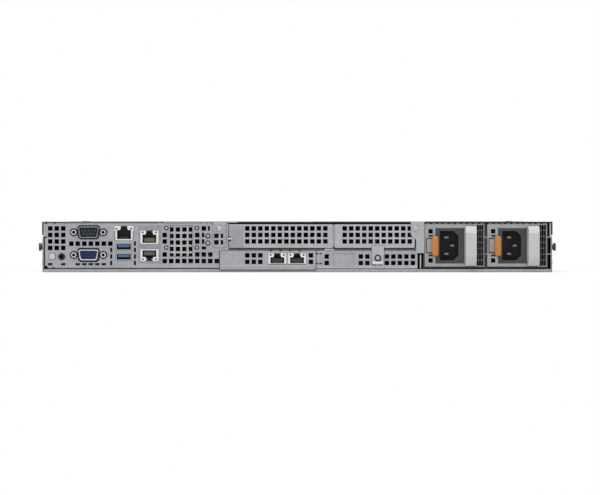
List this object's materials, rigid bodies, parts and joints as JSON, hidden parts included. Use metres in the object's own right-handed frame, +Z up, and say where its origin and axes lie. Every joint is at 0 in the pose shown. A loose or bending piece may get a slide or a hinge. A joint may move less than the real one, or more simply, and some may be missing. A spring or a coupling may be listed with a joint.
{
  "type": "rack server",
  "caption": "One-unit rack server of plated sheet metal: vented rear wall with ports, pull-out power supplies, lift-off cover, front drive bays and rack ears.",
  "frame": {"origin": "middle of the underside of the whole part's box", "axes": "+Y towards the drives, -Y towards the rear ports, +Z up, +X right seen from the rear"},
  "size_m": [0.482, 0.733, 0.0433],
  "materials": {
    "zinc_steel": "satin zinc plate",
    "bright_steel": "bright nickel plate",
    "video_blue": "satin",
    "black_plastic": "satin",
    "grey_plastic": "satin",
    "orange_plastic": "satin",
    "blue_plastic": "satin",
    "white_plastic": "gloss",
    "ear_black": "satin",
    "board_green": "solder mask",
    "aluminium": "satin"
  },
  "bodies": {
    "chassis": {"chassis_tray": "zinc_steel", "rear_panel": "zinc_steel", "module_grille": "zinc_steel", "slot_cover_1": "zinc_steel", "slot_cover_2": "zinc_steel", "slot_cover_3": "zinc_steel", "network_bracket": "zinc_steel", "supply_cage": "zinc_steel", "drive_cage": "zinc_steel", "front_cover": "zinc_steel", "fan_wall": "zinc_steel", "rail_studs": "bright_steel", "jackscrews": "bright_steel", "network_jacks": "bright_steel", "usb_ports": "bright_steel", "serial_port": "bright_steel", "video_port": "video_blue", "id_jack": "black_plastic", "fan_frames": "black_plastic", "air_shroud": "black_plastic", "front_panel": "black_plastic", "left_ear": "ear_black", "right_ear": "ear_black", "main_board": "board_green", "network_card": "board_green", "riser_board": "board_green", "drive_backplane": "board_green", "memory_modules": "board_green", "heat_sinks": "aluminium"},
    "top_cover": {"top_cover": "zinc_steel"},
    "cover_latch": {"cover_latch": "blue_plastic"},
    "power_button": {"power_button": "white_plastic"},
    "id_button": {"id_button": "white_plastic"},
    "left_ear_latch": {"left_ear_latch": "ear_black"},
    "right_ear_latch": {"right_ear_latch": "ear_black"},
    "supply_1": {"supply_1_case": "zinc_steel", "supply_1_inlet": "black_plastic", "supply_1_handle": "grey_plastic"},
    "supply_1_latch": {"supply_1_latch": "orange_plastic"},
    "supply_2": {"supply_2_case": "zinc_steel", "supply_2_inlet": "black_plastic", "supply_2_handle": "grey_plastic"},
    "supply_2_latch": {"supply_2_latch": "orange_plastic"},
    "drive_1": {"drive_carrier_1": "black_plastic", "drive_1": "aluminium"},
    "drive_lever_1": {"drive_lever_1": "grey_plastic"},
    "drive_2": {"drive_carrier_2": "black_plastic", "drive_2": "aluminium"},
    "drive_lever_2": {"drive_lever_2": "grey_plastic"},
    "drive_3": {"drive_carrier_3": "black_plastic", "drive_3": "aluminium"},
    "drive_lever_3": {"drive_lever_3": "grey_plastic"},
    "drive_4": {"drive_carrier_4": "black_plastic", "drive_4": "aluminium"},
    "drive_lever_4": {"drive_lever_4": "grey_plastic"},
    "fan_rotor_1": {"fan_rotor_1": "black_plastic"},
    "fan_rotor_2": {"fan_rotor_2": "black_plastic"},
    "fan_rotor_3": {"fan_rotor_3": "black_plastic"},
    "fan_rotor_4": {"fan_rotor_4": "black_plastic"},
    "fan_rotor_5": {"fan_rotor_5": "black_plastic"}
  },
  "joints": [
    {"name": "cover_lift", "type": "slide", "parent": "chassis", "child": "top_cover", "axis": [0, 0, 1], "range_m": [0, 0.12]},
    {"name": "cover_latch_turn", "type": "hinge", "parent": "top_cover", "child": "cover_latch", "pos_m": [0, 0.104, 0.0395], "axis": [-1, 0, 0], "range_deg": [0, 75]},
    {"name": "power_press", "type": "slide", "parent": "chassis", "child": "power_button", "axis": [0, -1, 0], "range_m": [0, 0.0012], "stiffness_N_per_m": 400},
    {"name": "id_press", "type": "slide", "parent": "chassis", "child": "id_button", "axis": [0, 1, 0], "range_m": [0, 0.001], "stiffness_N_per_m": 400},
    {"name": "left_ear_latch_turn", "type": "hinge", "parent": "chassis", "child": "left_ear_latch", "pos_m": [-0.2365, 0.3515, 0.0213], "axis": [0, 0, 1], "range_deg": [0, 12], "stiffness_Nm_per_rad": 0.4},
    {"name": "right_ear_latch_turn", "type": "hinge", "parent": "chassis", "child": "right_ear_latch", "pos_m": [0.2365, 0.3515, 0.0213], "axis": [0, 0, -1], "range_deg": [0, 12], "stiffness_Nm_per_rad": 0.4},
    {"name": "supply_1_slide", "type": "slide", "parent": "chassis", "child": "supply_1", "axis": [0, -1, 0], "range_m": [0, 0.2]},
    {"name": "supply_1_latch_turn", "type": "hinge", "parent": "supply_1", "child": "supply_1_latch", "pos_m": [0.1117, -0.2985, 0.02235], "axis": [0, 0, 1], "range_deg": [0, 4], "stiffness_Nm_per_rad": 0.4},
    {"name": "supply_2_slide", "type": "slide", "parent": "chassis", "child": "supply_2", "axis": [0, -1, 0], "range_m": [0, 0.2]},
    {"name": "supply_2_latch_turn", "type": "hinge", "parent": "supply_2", "child": "supply_2_latch", "pos_m": [0.1649, -0.2985, 0.02235], "axis": [0, 0, 1], "range_deg": [0, 4], "stiffness_Nm_per_rad": 0.4},
    {"name": "drive_1_slide", "type": "slide", "parent": "chassis", "child": "drive_1", "axis": [0, 1, 0], "range_m": [0, 0.16]},
    {"name": "drive_1_lever_turn", "type": "hinge", "parent": "drive_1", "child": "drive_lever_1", "pos_m": [-0.2074, 0.3614, 0.0163], "axis": [0, 0, 1], "range_deg": [0, 60]},
    {"name": "drive_2_slide", "type": "slide", "parent": "chassis", "child": "drive_2", "axis": [0, 1, 0], "range_m": [0, 0.16]},
    {"name": "drive_2_lever_turn", "type": "hinge", "parent": "drive_2", "child": "drive_lever_2", "pos_m": [-0.0998, 0.3614, 0.0163], "axis": [0, 0, 1], "range_deg": [0, 60]},
    {"name": "drive_3_slide", "type": "slide", "parent": "chassis", "child": "drive_3", "axis": [0, 1, 0], "range_m": [0, 0.16]},
    {"name": "drive_3_lever_turn", "type": "hinge", "parent": "drive_3", "child": "drive_lever_3", "pos_m": [0.0078, 0.3614, 0.0163], "axis": [0, 0, 1], "range_deg": [0, 60]},
    {"name": "drive_4_slide", "type": "slide", "parent": "chassis", "child": "drive_4", "axis": [0, 1, 0], "range_m": [0, 0.16]},
    {"name": "drive_4_lever_turn", "type": "hinge", "parent": "drive_4", "child": "drive_lever_4", "pos_m": [0.1154, 0.3614, 0.0163], "axis": [0, 0, 1], "range_deg": [0, 60]},
    {"name": "fan_1_spin", "type": "hinge", "parent": "chassis", "child": "fan_rotor_1", "pos_m": [-0.168, 0.126, 0.0212], "axis": [0, 1, 0], "continuous": true},
    {"name": "fan_2_spin", "type": "hinge", "parent": "chassis", "child": "fan_rotor_2", "pos_m": [-0.084, 0.126, 0.0212], "axis": [0, 1, 0], "continuous": true},
    {"name": "fan_3_spin", "type": "hinge", "parent": "chassis", "child": "fan_rotor_3", "pos_m": [0, 0.126, 0.0212], "axis": [0, 1, 0], "continuous": true},
    {"name": "fan_4_spin", "type": "hinge", "parent": "chassis", "child": "fan_rotor_4", "pos_m": [0.084, 0.126, 0.0212], "axis": [0, 1, 0], "continuous": true},
    {"name": "fan_5_spin", "type": "hinge", "parent": "chassis", "child": "fan_rotor_5", "pos_m": [0.168, 0.126, 0.0212], "axis": [0, 1, 0], "continuous": true}
  ]
}
